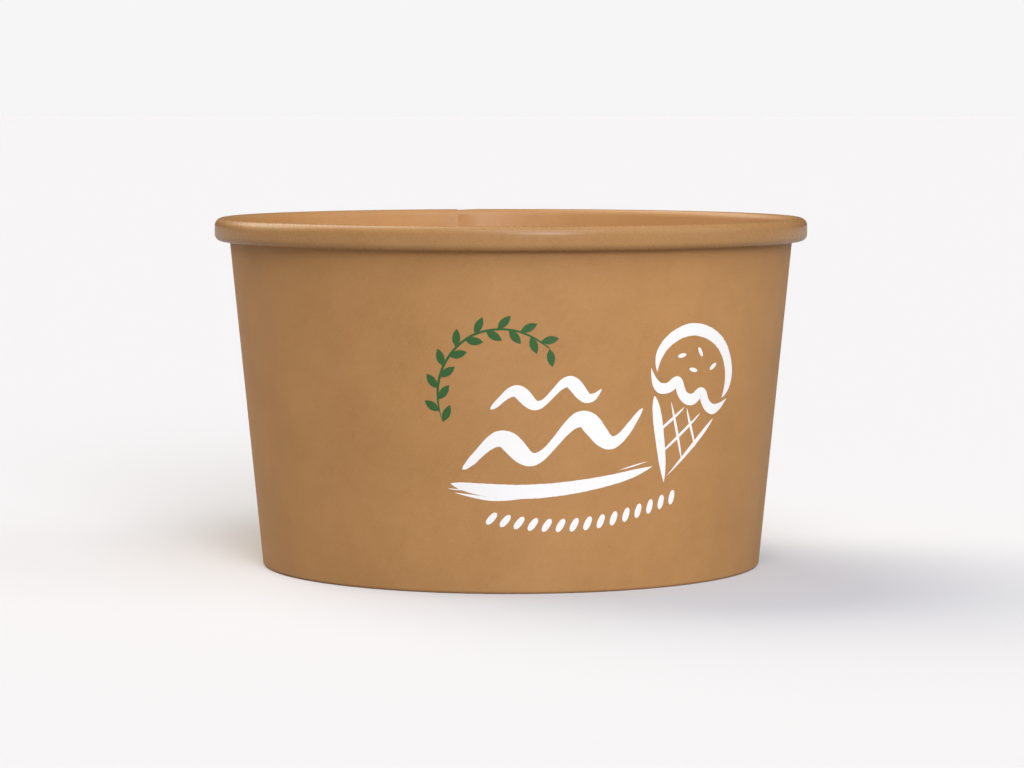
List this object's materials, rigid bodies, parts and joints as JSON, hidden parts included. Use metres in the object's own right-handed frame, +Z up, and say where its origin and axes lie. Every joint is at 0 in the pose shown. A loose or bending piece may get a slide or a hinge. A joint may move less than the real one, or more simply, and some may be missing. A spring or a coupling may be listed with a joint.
{
  "type": "paper ice cream tub",
  "caption": "Round paperboard tub for ice cream, with a tapered lapped side wall, a rolled rim that takes a press-on lid, and a recessed base.",
  "frame": {"origin": "centre of the circle that the tub stands on, on the floor", "axes": "+Z up along the tub's axis, towards the open rim; -Y is the front, which carries the printed design a little to its right; the side seam is at the back"},
  "size_m": [0.095, 0.095, 0.0557],
  "materials": {
    "wall_board": "matte",
    "base_board": "matte"
  },
  "bodies": {
    "root": {"side_wall": "wall_board", "base": "base_board"}
  },
  "joints": []
}
